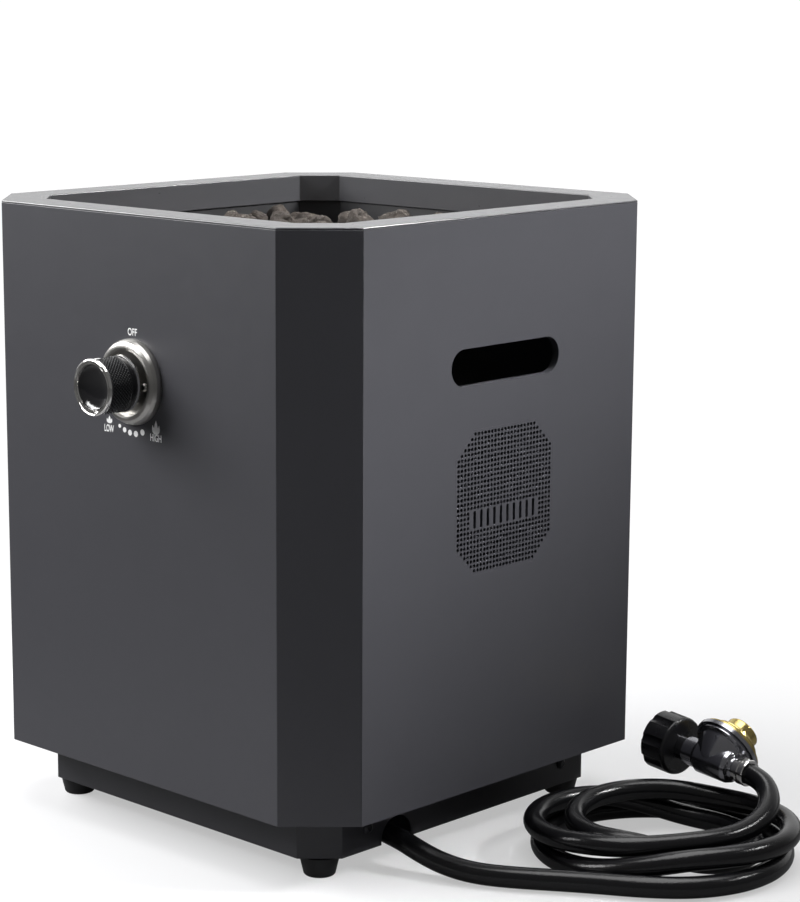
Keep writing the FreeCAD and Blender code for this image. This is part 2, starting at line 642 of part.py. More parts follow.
def make_knob():
    """Bezel, its screws, and the knob: knurled grip, two bright rings and the dished front cap."""
    dish = at_panel("bezel_dish", [
        (8, 0), ("bezel_radius", 0), ("bezel_radius", 1.6), ("bezel_radius - 0.5", 4),
        ("bezel_radius - 1.9", 6.6), ("bezel_radius - 4.2", "bezel_height - 0.3"),
        ("bezel_radius - 5.6", "bezel_height"), ("bezel_bore + 0.6", "bezel_height - 0.3"),
        ("bezel_bore", "bezel_height - 1"), ("bezel_bore", 2), (8, 2),
    ])
    holes = [rod("bezel_screw_hole", 1.8, 10, x, "%s + 2" % FRONT_FACE, z, "front") for x, z in bezel_screw_places()]
    node("control_bezel", cut("bezel_drilled", dish, *holes))
    screws = []
    for x, z in bezel_screw_places():
        profile = [(0, -6), (1.45, -6), (1.45, 2), (3, 2), (3, 3), (2, 4.2), (0, 4.2)]
        screws.append(turned("bezel_screw", profile, x, FRONT_FACE, z, "front"))
    node("bezel_screws", fuse("bezel_screw_group", *screws))

    grip = at_panel("grip_turned", [
        ("stem_radius + 0.05", "knob_rear"), (6.5, "knob_rear"), (6.5, "knob_rear + 14"),
        ("knob_radius - 3", "knob_rear + 14"), ("knob_radius - 3", "knob_rear"), ("knob_radius - 0.3", "knob_rear"),
        ("knob_radius - 0.3", "knob_rear + 2"), ("knob_radius - 0.9", "knob_rear + 2"),
        ("knob_radius - 0.9", "knob_rear + 6"), ("knob_radius - 0.2", "knob_rear + 7"),
        ("knob_radius - 0.2", "knob_front - 3"), ("knob_radius - 2.2", "knob_front - 3"),
        ("knob_radius - 2.2", "knob_front - 7"), ("stem_radius + 0.05", "knob_front - 7"),
    ])
    node("knob_grip", grip)
    node("knob_rear_ring", at_panel("rear_ring_body", [
        ("knob_radius - 0.28", "knob_rear - 0.4"), ("knob_radius + 0.3", "knob_rear - 0.4"),
        ("knob_radius + 0.5", "knob_rear + 0.4"), ("knob_radius + 0.1", "knob_rear + 1.9"),
        ("knob_radius - 0.28", "knob_rear + 1.9"),
    ]))
    node("knob_front_ring", at_panel("front_ring_body", [
        ("knob_radius - 3.9", "knob_front - 2.98"), ("knob_radius - 0.1", "knob_front - 2.98"),
        ("knob_radius + 0.25", "knob_front - 1.8"), ("knob_radius - 0.2", "knob_front - 0.5"),
        ("knob_radius - 0.9", "knob_front"), ("knob_radius - 1.6", "knob_front - 0.3"),
        ("knob_radius - 2", "knob_front - 1.1"), ("knob_radius - 2.5", "knob_front - 1.1"),
        ("knob_radius - 2.9", "knob_front - 0.5"), ("knob_radius - 3.5", "knob_front - 0.6"),
        ("knob_radius - 3.9", "knob_front - 1.6"),
    ]))
    node("knob_cap", at_panel("cap_body", [
        (0, "knob_front - 6.98"), ("knob_radius - 2.25", "knob_front - 6.98"),
        ("knob_radius - 2.25", "knob_front - 3"), ("knob_radius - 3.95", "knob_front - 3"),
        ("knob_radius - 3.95", "knob_front - 1.9"), ("knob_radius - 6", "knob_front - 3.1"),
        ("knob_radius - 9", "knob_front - 4.1"), ("knob_radius - 14", "knob_front - 4.8"), (0, "knob_front - 5"),
    ]))


# Gas line inside the casing

def tube_path(points):
    """Straight runs joined by tangent arcs, each as large as its two runs allow. Returns the wire and the radii."""
    edges, radii = [], []
    start = points[0]
    for before, corner, after in zip(points, points[1:], points[2:]):
        incoming, outgoing = corner - before, after - corner
        half_turn = incoming.getAngle(outgoing) / 2
        trim = 0.45 * min(incoming.Length, outgoing.Length)
        radii.append(trim / math.tan(half_turn))
        incoming.normalize()
        outgoing.normalize()
        first, last = corner - incoming * trim, corner + outgoing * trim
        inward = (outgoing - incoming).normalize()
        centre = corner + inward * (radii[-1] / math.cos(half_turn))
        middle = centre - inward * radii[-1]
        edges.append(Part.LineSegment(start, first).toShape())
        edges.append(Part.Arc(first, middle, last).toShape())
        start = last
    edges.append(Part.LineSegment(start, points[-1]).toShape())
    return Part.Wire(edges), radii


def tube(name, points, radius):
    """A round tube along straight runs and tangent arcs; its volume is compared with section times length."""
    path, radii = tube_path(points)
    direction = (points[1] - points[0]).normalize()
    section = Part.Wire(Part.Circle(points[0], direction, radius).toShape())
    solid = path.makePipeShell([section], True, False)
    expected = math.pi * radius ** 2 * path.Length
    print("%s: length %.1f, least radius %.1f, volume ratio %.4f"
          % (name, path.Length, min(radii), solid.Volume / expected))
    print("   radii", [round(value, 1) for value in radii])
    shape_node(name, solid)
    return path


def clip_middle():
    """The middle of the hose clip and the hose's direction in it."""
    end, before = Vector(*HOSE_INSIDE[-1]), Vector(*HOSE_INSIDE[-2])
    along = (end - before).normalize()
    return end - along * 6, along


def clip_bolt_place():
    """Where the clip's bolt goes through the bottom plate."""
    middle = clip_middle()[0]
    return middle.x, middle.y - 19


def make_gas_line(mixer_z):
    """The valve's inlet fitting and sleeve, the hose down to the plinth, its clip, and the pipe to the jet."""
    knob_z, front = size("knob_height"), -size("case_width") / 2
    inlet_y = "%s + 20" % FRONT_FACE
    fitting = [(0, 0), (8, 0), (8, -8), (9.8, -8), (9.8, -14), (0, -14)]
    node("inlet_fitting", turned("inlet_body", fitting[::-1], 0, inlet_y, "knob_height - 20"))
    node("inlet_sleeve", turned("sleeve_body", ring_profile("hose_width / 2 + 0.05", 9.8, -32, -14), 0, inlet_y,
                                "knob_height - 20"))
    run = [Vector(0, front + 20, knob_z - 34), Vector(0, front + 20, knob_z - 74)]
    run += [Vector(*point) for point in HOSE_INSIDE]
    tube("hose_inner", run, size("hose_width") / 2)

    middle, along = clip_middle()
    bolt_x, bolt_y = clip_bolt_place()
    band = Part.makeCylinder(9.6, 9, middle - along * 4.5, along)
    strap = Part.makeBox(9, 20, 1.4, Vector(middle.x - 4.5, middle.y - 24, size("base_bottom") + size("sheet")))
    hollow = Part.makeCylinder(size("hose_width") / 2 + 0.05, 11, middle - along * 5.5, along)
    bolt_hole = Part.makeCylinder(2.1, 12, Vector(bolt_x, bolt_y, size("base_bottom") - 4))
    shape_node("hose_clip", band.fuse(strap).cut(hollow).cut(bolt_hole).removeSplitter())
    profile = [
        (0, -3), (4.2, -3), (4.2, 0), (2, 0), (2, "sheet + 1.4"), (3.8, "sheet + 1.4"), (3.8, "sheet + 4.6"),
        (0, "sheet + 4.6"),
    ]
    node("clip_bolt", turned("clip_bolt_body", profile, bolt_x, bolt_y, "base_bottom"))

    jet_start = Vector(0, -96, evaluate(mixer_z))
    pipe = [
        Vector(0, front + 42, knob_z), Vector(0, front + 56, knob_z), Vector(0, -118, (knob_z + jet_start.z) / 2 - 1),
        Vector(0, -106, jet_start.z), jet_start,
    ]
    tube("gas_pipe", pipe, 3.8)


# Free hose: out of the arch, three loose turns on the ground beside the plinth, and up to the regulator

HOSE_INSIDE = [
    (3, -170, 236), (10, -160, 190), (20, -144, 146), (30, -126, 108), (42, -112, 80), (58, -101, 59),
    (78, -93, 43), (100, -88, 33), (122, -85.5, 27.7), (140, -85.5, 25.6),
]
HOSE_LEAD = [(168, -85.5, 22.333), (186, -84.5, 17), (206, -81, 11.2), (230, -75, 8.4), (256, -63, 8.4)]
COIL_MIDDLE = Vector(292, 69, 0)
COIL_ACROSS = Vector(math.sqrt(0.5), math.sqrt(0.5), 0)
COIL_AWAY = Vector(-math.sqrt(0.5), math.sqrt(0.5), 0)
COIL_FROM, COIL_TO = -0.04, 3.0
COIL_STEPS = 16
# the turns' reach from their middle at each quarter, and the heights (turn, height) that they rise and sink between
COIL_REACH = [91, 92, 91, 91, 71.5, 98, 64, 66, 42, 73, 74.5, 97.5, 55, 58]
COIL_HEIGHTS = [
    (-1, 8.4), (0.85, 8.4), (1.08, 25.5), (1.36, 25.5), (1.50, 32.5), (1.57, 32.5), (1.84, 25.5), (1.88, 25.5),
    (2.12, 8.4), (2.41, 8.4), (2.60, 25.5), (2.75, 26.2), (2.93, 29.4), (3.1, 29.4),
]
# the hose's last stretch and the regulator, as (across, away, height) from the coil's middle
HOSE_TAIL = [(57, -34, 31), (75.5, -14, 37.5), (82, 8, 45)]
FERRULE_MOUTH = (71, 36, 53)
NUT_MIDDLE = (19.5, 98, 58.5)


def coil_place(across, away, height):
    """A place counted from the coil's middle."""
    return COIL_MIDDLE + COIL_ACROSS * across + COIL_AWAY * away + Vector(0, 0, height)


def coil_point(turn):
    """The hose's middle line: reach by a smooth curve through the quarters, height by soft steps."""
    quarter = min(max(math.floor(turn * 4), 0), len(COIL_REACH) - 2)
    part = turn * 4 - quarter
    last = len(COIL_REACH) - 1
    before, start, end, after = [COIL_REACH[min(max(quarter + i, 0), last)] for i in (-1, 0, 1, 2)]
    start_slope, end_slope = (end - before) / 2, (after - start) / 2
    reach = (2 * part ** 3 - 3 * part ** 2 + 1) * start + (part ** 3 - 2 * part ** 2 + part) * start_slope
    reach += (3 * part ** 2 - 2 * part ** 3) * end + (part ** 3 - part ** 2) * end_slope
    height = COIL_HEIGHTS[0][1]
    for (low_turn, low), (high_turn, high) in zip(COIL_HEIGHTS, COIL_HEIGHTS[1:]):
        if low_turn <= turn <= high_turn:
            share = (turn - low_turn) / (high_turn - low_turn)
            height = low + (high - low) * (1 - math.cos(math.pi * share)) / 2
    angle = 2 * math.pi * turn - math.pi / 2
    return coil_place(reach * math.cos(angle), reach * math.sin(angle), height)


def coil_direction(turn):
    """Which way the hose runs at a turn."""
    return (coil_point(turn + 0.002) - coil_point(turn - 0.002)).normalize()


def biarc(start, start_way, end, end_way):
    """Two tangent arcs between two places with given directions. Returns the edges and their radii."""
    chord = end - start
    ways = start_way + end_way
    spread = 2 * (1 - start_way.dot(end_way))
    reach = chord.dot(chord) / (chord.dot(ways) + math.sqrt(chord.dot(ways) ** 2 + spread * chord.dot(chord)))
    first, second = start + start_way * reach, end - end_way * reach
    joint = (first + second) / 2
    edges, radii = [], []
    for a, q, b in ((start, first, joint), (joint, second, end)):
        weight = (a - b).Length / (2 * reach)
        middle = (a + q * (2 * weight) + b) / (2 * (1 + weight))
        arc = Part.Arc(a, middle, b).toShape()
        edges.append(arc)
        radii.append(arc.Curve.Radius)
    return edges, radii


def make_coil():
    """The loose turns as one unbroken tube. Returns its two ends with their directions."""
    hose = size("hose_width") / 2
    count = round((COIL_TO - COIL_FROM) * COIL_STEPS)
    turns = [COIL_FROM + (COIL_TO - COIL_FROM) * i / count for i in range(count + 1)]
    start_way, end_way = coil_direction(turns[0]), coil_direction(turns[-1])
    start = coil_point(turns[0]) - start_way * 2 * hose
    end = coil_point(turns[-1]) + end_way * 2 * hose
    edges, radii = [Part.LineSegment(start, coil_point(turns[0])).toShape()], []
    for low, high in zip(turns, turns[1:]):
        arcs, arc_radii = biarc(coil_point(low), coil_direction(low), coil_point(high), coil_direction(high))
        edges += arcs
        radii += arc_radii
    edges.append(Part.LineSegment(coil_point(turns[-1]), end).toShape())
    path = Part.Wire(edges)
    section = Part.Wire(Part.Circle(start, start_way, hose).toShape())
    solid = path.makePipeShell([section], True, False)
    points = path.discretize(Distance=4)
    least = min(
        (points[i] - points[j]).Length
        for i in range(len(points)) for j in range(i + 15, len(points))
    )
    print("hose_coil: length %.1f, least radius %.1f, least gap %.2f, lowest %.2f, volume ratio %.4f" % (
        path.Length, min(radii), least - 2 * hose, solid.BoundBox.ZMin,
        solid.Volume / (math.pi * hose ** 2 * path.Length),
    ))
    shape_node("hose_coil", solid)
    return (start, start_way), (end, end_way), path.Length


def make_free_hose():
    """Lead, coil and tail, in one line from the arch to the ferrule."""
    (start, start_way), (end, end_way), coil_length = make_coil()
    lead = [Vector(*HOSE_INSIDE[-1])] + [Vector(*point) for point in HOSE_LEAD] + [start - start_way * 24, start]
    axis = regulator_axis()
    mouth = coil_place(*FERRULE_MOUTH)
    tail = [end, end + end_way * 18] + [coil_place(*point) for point in HOSE_TAIL]
    tail += [mouth - axis * 10, mouth + axis * 10]
    lead_path = tube("hose_lead", lead, size("hose_width") / 2)
    tail_path = tube("hose_tail", tail, size("hose_width") / 2)
    print("free hose: %.1f mm" % (lead_path.Length + coil_length + tail_path.Length))


# Regulator, its bonnet turned up and away from the casing, and the hand nut

NUT_RIBS = 8


def regulator_axis():
    """From the ferrule's mouth to the hand nut."""
    return (coil_place(*NUT_MIDDLE) - coil_place(*FERRULE_MOUTH)).normalize()


def bonnet_axis():
    """The bonnet's direction, square to the regulator's own axis."""
    axis = regulator_axis()
    facing = COIL_ACROSS * 0.69 + COIL_AWAY * 0.52 + Vector(0, 0, 0.50)
    return (facing - axis * facing.dot(axis)).normalize()


def on_axis(name, profile, distance, way=None, origin=None):
    """Turned on the regulator's axis, at a distance from the ferrule's mouth."""
    body = turned(name, profile)
    way = way or regulator_axis()
    position = (origin or coil_place(*FERRULE_MOUTH)) + way * distance
    body.Placement = Placement(position, Rotation(Vector(0, 0, 1), way))
    for letter, value in zip("xyz", body.Placement.Base):
        body.setExpression("Placement.Base." + letter, None)
    return body


def make_regulator():
    """Ferrule, cast body, bonnet with its cap, inlet nipple and the ribbed hand nut."""
    hose = size("hose_width") / 2
    span = (coil_place(*NUT_MIDDLE) - coil_place(*FERRULE_MOUTH)).Length
    node("hose_ferrule", on_axis("ferrule_body", [
        (hose + 0.05, 0), (10, 0), (10.4, 1), (10.4, 2.6), (9.6, 3.2), (9.6, 5.2), (10.4, 5.8), (10.4, 7.6),
        (9, 8.2), (9, 12), (0, 12), (0, 10.02), (hose + 0.05, 10.02),
    ], 0))
    origin = coil_place(*FERRULE_MOUTH) + regulator_axis() * span * 0.43
    barrel = on_axis("regulator_barrel", [
        (0, 12.01), (9, 12.01), (9, 15), (12, 16), (13.5, 20), (13.5, span - 34), (11.5, span - 30),
        (11.5, span - 20), (0, span - 20),
    ], 0)
    pan = on_axis("regulator_pan", [
        (0, -10), (9, -10), (14, -6), (18.5, 0), (21, 5), (22.6, 9.3), ("cover_radius - 1", 10.4),
        ("cover_radius - 1", 11.3), ("cover_radius - 2", 11.5), ("cover_radius - 2", 12.5), ("cover_radius + 1", 12.7),
        ("cover_radius + 1", 16), (24, 16), (24, 14), (0, 14),
    ], 0, bonnet_axis(), origin)
    node("regulator_body", fuse("regulator_cast", barrel, pan))
    node("diaphragm", on_axis("diaphragm_body", ring_profile(0, 23.95, 14.02, 15.2), 0, bonnet_axis(), origin))
    node("regulator_cover", on_axis("cover_body", [
        (13.6, 22), (13.6, 27), (16, 27), (16.4, 26.4), (16.4, 24.8), (20, 24.2), (21, 23), (21, 18.8),
        ("cover_radius - 0.5", 18.2), ("cover_radius - 0.5", 16.02), (22, 16.02), (19.2, 18), (19.2, 22),
    ], 0, bonnet_axis(), origin))
    node("regulator_cap", on_axis("cap_disc", [
        (0, 24), (13.55, 24), (13.55, 34), (12.6, 35.2), (0, 35.6),
    ], 0, bonnet_axis(), origin))
    node("regulator_spring", on_axis("regulator_spring_body", ring_profile(7, 9, 15.22, 23.98), 0, bonnet_axis(),
                                     origin))

    node("inlet_nipple", on_axis("nipple_body", [
        (0, -19.98), (9.5, -19.98), (9.5, -7.94), (14.5, -7.94), (14.5, -5.4), (9, -4.4), (9, 5), (7, 10),
        (2, 10), (2, 0), (0, 0),
    ], span))
    nut = on_axis("nut_blank", [
        (9.56, -11.5), ("nut_radius - 2.5", -11.5), ("nut_radius - 0.6", -10.4), ("nut_radius", -8.4),
        ("nut_radius", "nut_length / 2 - 1.4"), ("nut_radius - 1.4", "nut_length / 2"), (17.6, "nut_length / 2"),
        (17, "nut_length / 2 - 1"), (17, -8), (9.56, -8),
    ], span)
    grooves = []
    for number in range(NUT_RIBS):
        groove = doc.addObject("Part::Cylinder", "nut_groove")
        groove.Radius, groove.Height = 5, 40
        around = Rotation(regulator_axis(), 360 * number / NUT_RIBS)
        offset = around.multVec(bonnet_axis()) * (size("nut_radius") + 2.8)
        origin = coil_place(*NUT_MIDDLE) + offset - regulator_axis() * 8.6
        groove.Placement = Placement(origin, Rotation(Vector(0, 0, 1), regulator_axis()))
        grooves.append(groove)
    node("hand_nut", cut("nut_ribbed", nut, *grooves))
    print("hand nut: middle %s, axis %s" % (tuple(coil_place(*NUT_MIDDLE)), tuple(regulator_axis())))


doc_steps = [make_wraps, make_sides, make_rim, make_floor_plate, make_plinth, make_feet, make_bowl]
for step in doc_steps:
    step()
mixer_height = make_burner()
make_rocks()
make_valve()
make_knob()
make_gas_line(mixer_height)
make_free_hose()
make_regulator()
doc.recompute()

faults = [o.Name for o in doc.Objects if "Invalid" in o.State or "Error" in o.State]
faults += [o.Label for o in nodes if o.Shape.isNull() or not o.Shape.isValid()]
if faults:
    raise RuntimeError("these objects failed: %s" % faults)

# The frame's origin is under the middle of the whole outline, so the knob's reach moves every piece back by half
set_back = Vector(0, size("knob_front") / 2, 0)
for piece in nodes:
    shape = piece.Shape.copy()
    shape.translate(set_back)
    shape.exportStep("parts/%s.step" % piece.Label)
    print("%-22s solids %3d  volume %10.0f" % (piece.Label, len(shape.Solids), shape.Volume))
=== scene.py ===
import json
import math
import random

import bmesh
import bpy
from mathutils import Matrix, Vector, noise
from mathutils.bvhtree import BVHTree


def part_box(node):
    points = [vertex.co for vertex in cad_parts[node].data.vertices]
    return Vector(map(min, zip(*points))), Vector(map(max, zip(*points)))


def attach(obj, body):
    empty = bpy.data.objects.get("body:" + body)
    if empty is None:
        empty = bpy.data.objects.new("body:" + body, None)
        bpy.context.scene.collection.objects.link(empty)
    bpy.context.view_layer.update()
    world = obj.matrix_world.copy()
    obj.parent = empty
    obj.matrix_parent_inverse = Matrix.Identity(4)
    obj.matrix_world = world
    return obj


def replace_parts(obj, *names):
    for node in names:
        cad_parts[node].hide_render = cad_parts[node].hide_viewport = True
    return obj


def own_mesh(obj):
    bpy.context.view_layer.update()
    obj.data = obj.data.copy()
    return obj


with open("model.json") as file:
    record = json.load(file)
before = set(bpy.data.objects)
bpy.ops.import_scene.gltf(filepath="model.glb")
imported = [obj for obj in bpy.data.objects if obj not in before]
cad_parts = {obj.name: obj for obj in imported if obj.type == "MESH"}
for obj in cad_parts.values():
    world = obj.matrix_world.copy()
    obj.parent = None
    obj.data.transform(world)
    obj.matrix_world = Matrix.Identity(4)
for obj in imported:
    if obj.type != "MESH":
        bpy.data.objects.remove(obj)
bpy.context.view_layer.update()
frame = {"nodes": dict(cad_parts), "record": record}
nodes = frame["nodes"]
MM = 0.001


def middle_of(name):
    """The middle of a node's box."""
    low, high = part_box(name)
    return (Vector(low) + Vector(high)) / 2


CASING = middle_of("top_rim")
KNOB = middle_of("control_bezel")
FRONT_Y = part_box("front_wrap")[0][1]


# Camera

CAMERA_AZIMUTH = math.radians(45)
CAMERA_ELEVATION = math.radians(11)
CAMERA_DISTANCE = 2.0216
LOOK_HEIGHT = 0.2655
LENS = 102.3
SENSOR_WIDTH = 36
SHIFT = (0.0892, 0.0187)


def make_camera():
    """The photograph's viewpoint: the corner between the front and the right side."""
    data = bpy.data.cameras.new("camera")
    data.sensor_width = SENSOR_WIDTH
    data.lens = LENS
    data.shift_x, data.shift_y = SHIFT
    camera = bpy.data.objects.new("camera", data)
    bpy.context.scene.collection.objects.link(camera)
    flat = math.cos(CAMERA_ELEVATION)
    away = Vector((
        math.sin(CAMERA_AZIMUTH) * flat,
        -math.cos(CAMERA_AZIMUTH) * flat,
        math.sin(CAMERA_ELEVATION),
    ))
    camera.location = Vector((0, CASING.y, LOOK_HEIGHT)) + away * CAMERA_DISTANCE
    camera.rotation_euler = (-away).to_track_quat("-Z", "Y").to_euler()
    bpy.context.scene.camera = camera


# Shader nodes

def smooth_ramp(tree, source, from_min, from_max, to_min, to_max):
    """A value eased from one range into another."""
    ramp = tree.nodes.new("ShaderNodeMapRange")
    ramp.interpolation_type = "SMOOTHSTEP"
    sockets = ("From Min", "From Max", "To Min", "To Max")
    for socket, value in zip(sockets, (from_min, from_max, to_min, to_max)):
        ramp.inputs[socket].default_value = value
    tree.links.new(source, ramp.inputs["Value"])
    return ramp.outputs["Result"]


def mix_shaders(tree, factor, first, second):
    """The first shader where the factor is 0, the second where it is 1."""
    mix = tree.nodes.new("ShaderNodeMixShader")
    tree.links.new(factor, mix.inputs["Fac"])
    tree.links.new(first, mix.inputs[1])
    tree.links.new(second, mix.inputs[2])
    return mix.outputs[0]


def vector_math(tree, operation, first, second=None):
    """The result of a vector operation whose second value, if it has one, is plain numbers."""
    node = tree.nodes.new("ShaderNodeVectorMath")
    node.operation = operation
    tree.links.new(first, node.inputs[0])
    if second is not None:
        node.inputs[1].default_value = second
    return node.outputs["Value" if operation in ("DOT_PRODUCT", "LENGTH") else "Vector"]


def larger(tree, first, second):
    """The larger of two values."""
    node = tree.nodes.new("ShaderNodeMath")
    node.operation = "MAXIMUM"
    tree.links.new(first, node.inputs[0])
    tree.links.new(second, node.inputs[1])
    return node.outputs["Value"]


def noise_value(tree, place, scale, detail):
    """Noise over a place, its scale counted per metre."""
    texture = tree.nodes.new("ShaderNodeTexNoise")
    texture.inputs["Scale"].default_value = scale
    texture.inputs["Detail"].default_value = detail
    tree.links.new(place, texture.inputs["Vector"])
    return texture.outputs["Fac"]


def add_relief(tree, height, strength, depth):
    """Roughens the shader's surface by a height."""
    relief = tree.nodes.new("ShaderNodeBump")
    relief.inputs["Strength"].default_value = strength
    relief.inputs["Distance"].default_value = depth
    tree.links.new(height, relief.inputs["Height"])
    tree.links.new(relief.outputs["Normal"], tree.nodes["Principled BSDF"].inputs["Normal"])


# Floor, background and light

FLOOR_SIZE = 30
FLOOR_DROP = 0.0002
WHITE_STRENGTH = 1.05
# How much of the white background a reflection on the object shows
WHITE_IN_REFLECTIONS = 0.07
# The room's light by the direction it comes from: least from the corner the photograph shows
SHOWN_CORNER = (0.707, -0.707, 0)
ROOM_SHADE = (-0.9, -0.2, 1.0, 0.07)
# The share of plain white on the floor, by the distance from the middle in metres
FLOOR_FADE = (0.36, 0.8, 0.45, 1.0)

LIT_MIDDLE = Vector((0, CASING.y, 0.3))
# Name, place and target counted from the lit middle, size, watts and beam in degrees
SOFT_BOXES = (
    ("top_box", (0, 0.1, 2.2), (0, 0, 0), (2.2, 2.2), 52, 180),
    ("left_box", (-1.45, -1.15, 1.15), (0, 0, 0.1), (2.3, 1.1), 92, 180),
    ("right_box", (1.25, 0.9, 1.1), (0.25, 0, 0.17), (1.2, 0.4), 4.6, 24),
)


def soft_box(name, place, target, size, watts, beam):
    """A rectangular light that looks at its target."""
    data = bpy.data.lights.new(name, "AREA")
    data.shape = "RECTANGLE"
    data.size, data.size_y = size
    data.energy = watts
    data.spread = math.radians(beam)
    light = bpy.data.objects.new(name, data)
    light.location = LIT_MIDDLE + Vector(place)
    toward = LIT_MIDDLE + Vector(target) - light.location
    light.rotation_euler = toward.to_track_quat("-Z", "Y").to_euler()
    bpy.context.scene.collection.objects.link(light)


def background_rays(tree):
    """How far a ray meets plain white: wholly if the camera or glass sees it, else a little."""
    path = tree.nodes.new("ShaderNodeLightPath")
    mirrored = tree.nodes.new("ShaderNodeMath")
    mirrored.operation = "MULTIPLY"
    mirrored.inputs[1].default_value = WHITE_IN_REFLECTIONS
    tree.links.new(path.outputs["Is Glossy Ray"], mirrored.inputs[0])
    through = larger(tree, mirrored.outputs["Value"], path.outputs["Is Transmission Ray"])
    return larger(tree, through, path.outputs["Is Camera Ray"])


def floor_finish():
    """White paper: lit near the object, where its shadow falls, and plain white further off."""
    made = bpy.data.materials.new("floor_white")
    made.use_nodes = True
    tree = made.node_tree
    paper = tree.nodes["Principled BSDF"]
    paper.inputs["Base Color"].default_value = (0.70, 0.70, 0.715, 1)
    paper.inputs["Roughness"].default_value = 0.7
    dim = tree.nodes.new("ShaderNodeBsdfDiffuse")
    dim.inputs["Color"].default_value = (0.32, 0.32, 0.33, 1)
    unlit = tree.nodes.new("ShaderNodeBsdfDiffuse")
    unlit.inputs["Color"].default_value = (0.02, 0.02, 0.02, 1)
    bright = tree.nodes.new("ShaderNodeEmission")
    bright.inputs["Strength"].default_value = WHITE_STRENGTH
    coordinate = tree.nodes.new("ShaderNodeTexCoord")
    reach = vector_math(tree, "LENGTH", coordinate.outputs["Object"])
    far = smooth_ramp(tree, reach, *FLOOR_FADE)
    seen = mix_shaders(tree, far, paper.outputs[0], bright.outputs[0])
    felt = mix_shaders(tree, far, dim.outputs[0], unlit.outputs[0])
    surface = mix_shaders(tree, background_rays(tree), felt, seen)
    tree.links.new(surface, tree.nodes["Material Output"].inputs["Surface"])
    return made


def make_room():
    """A room seen as plain white, whose light on the object is darker on the viewer's side."""
    world = bpy.data.worlds.new("studio")
    bpy.context.scene.world = world
    world.use_nodes = True
    tree = world.node_tree
    tree.nodes.clear()
    output = tree.nodes.new("ShaderNodeOutputWorld")
    seen = tree.nodes.new("ShaderNodeBackground")
    seen.inputs["Color"].default_value = (1, 1, 1, 1)
    seen.inputs["Strength"].default_value = WHITE_STRENGTH
    felt = tree.nodes.new("ShaderNodeBackground")
    coordinate = tree.nodes.new("ShaderNodeTexCoord")
    toward = vector_math(tree, "DOT_PRODUCT", coordinate.outputs["Generated"], SHOWN_CORNER)
    tree.links.new(smooth_ramp(tree, toward, *ROOM_SHADE), felt.inputs["Strength"])
    surface = mix_shaders(tree, background_rays(tree), felt.outputs[0], seen.outputs[0])
    tree.links.new(surface, output.inputs["Surface"])


def make_stage():
    """A white floor that runs into a white background, soft boxes above and at both sides."""
    bpy.ops.mesh.primitive_plane_add(size=FLOOR_SIZE, location=(0, 0, -FLOOR_DROP))
    floor = bpy.context.active_object
    floor.name = "floor"
    floor.data.materials.append(floor_finish())
    make_room()
    for box in SOFT_BOXES:
        soft_box(*box)


# Materials

COAT_ROUGHNESS = 0.12
LEAST_ROUGHNESS = 0.02
# Patches of colour and gloss are so many times coarser than the grain, the relief finer
COLOUR_COARSER, GLOSS_COARSER, RELIEF_FINER = 12, 4, 6
LATHE_RINGS = 2600
LATHE_RELIEF, LATHE_DEPTH = 0.12, 0.0001

PAINTED = {"variation": 0.05, "grain": 420, "bump_depth": 0.00008}
FINISHES = {
    "case_paint": dict(PAINTED, colour=(0.052, 0.052, 0.060), roughness=0.42, bump=0.25),
    # rim_paint: the casing's own dark paint made a little lighter, a painted highlight for the
    # sheen on the rim's top; the coat is real gloss
    "rim_paint": dict(
        PAINTED, colour=(0.062, 0.062, 0.067), roughness=0.30, bump=0.2, coat=0.35,
    ),
    "base_paint": dict(PAINTED, colour=(0.036, 0.036, 0.041), roughness=0.42, bump=0.25),
    "galvanised": dict(
        colour=(0.42, 0.43, 0.44), roughness=0.45, metallic=0.9, variation=0.25, grain=500,
    ),
    "chrome": dict(
        colour=(0.82, 0.81, 0.79), roughness=0.08, metallic=1.0, variation=0.03, bump=0.03,
        rough_spread=0.03,
    ),
    "dark_chrome": dict(
        colour=(0.40, 0.40, 0.43), roughness=0.17, metallic=1.0, variation=0.15, grain=260,
        bump=0.12, coat=0.4,
    ),
    "grip_black": dict(colour=(0.010, 0.010, 0.012), roughness=0.24, grain=500),
    "gloss_black": dict(
        colour=(0.004, 0.004, 0.005), roughness=0.05, variation=0.1, bump=0.02,
        rough_spread=0.03, coat=1.0,
    ),
    "nut_black": dict(
        colour=(0.014, 0.014, 0.016), roughness=0.28, variation=0.2, grain=350, bump=0.12,
    ),
    "rubber": dict(
        colour=(0.010, 0.010, 0.011), roughness=0.5, variation=0.2, grain=400, bump=0.25,
    ),
    "hose_rubber": dict(
        colour=(0.006, 0.006, 0.007), roughness=0.2, variation=0.25, grain=110, bump=0.4,
        bump_depth=0.0003, rough_spread=0.05,
    ),
    "lava": dict(
        colour=(0.030, 0.025, 0.022), roughness=0.85, variation=0.5, grain=1200, bump=0.9,
        bump_depth=0.0012, second=(0.11, 0.088, 0.072),
    ),
    "enamel": dict(colour=(0.016, 0.016, 0.018), roughness=0.5, variation=0.15),
    "black_zinc": dict(
        colour=(0.035, 0.035, 0.038), roughness=0.35, metallic=0.8, variation=0.2, grain=400,
    ),
    "cast_alloy": dict(
        colour=(0.45, 0.45, 0.46), roughness=0.4, metallic=1.0, variation=0.12, grain=350,
        bump=0.4,
    ),
    "label_white": dict(colour=(0.9, 0.9, 0.9), roughness=0.5, variation=0.06, grain=500),
}
OWN_FINISH = {"fire_bowl": "enamel", "wall_screws": "black_zinc", "inlet_nipple": "dark_chrome"}


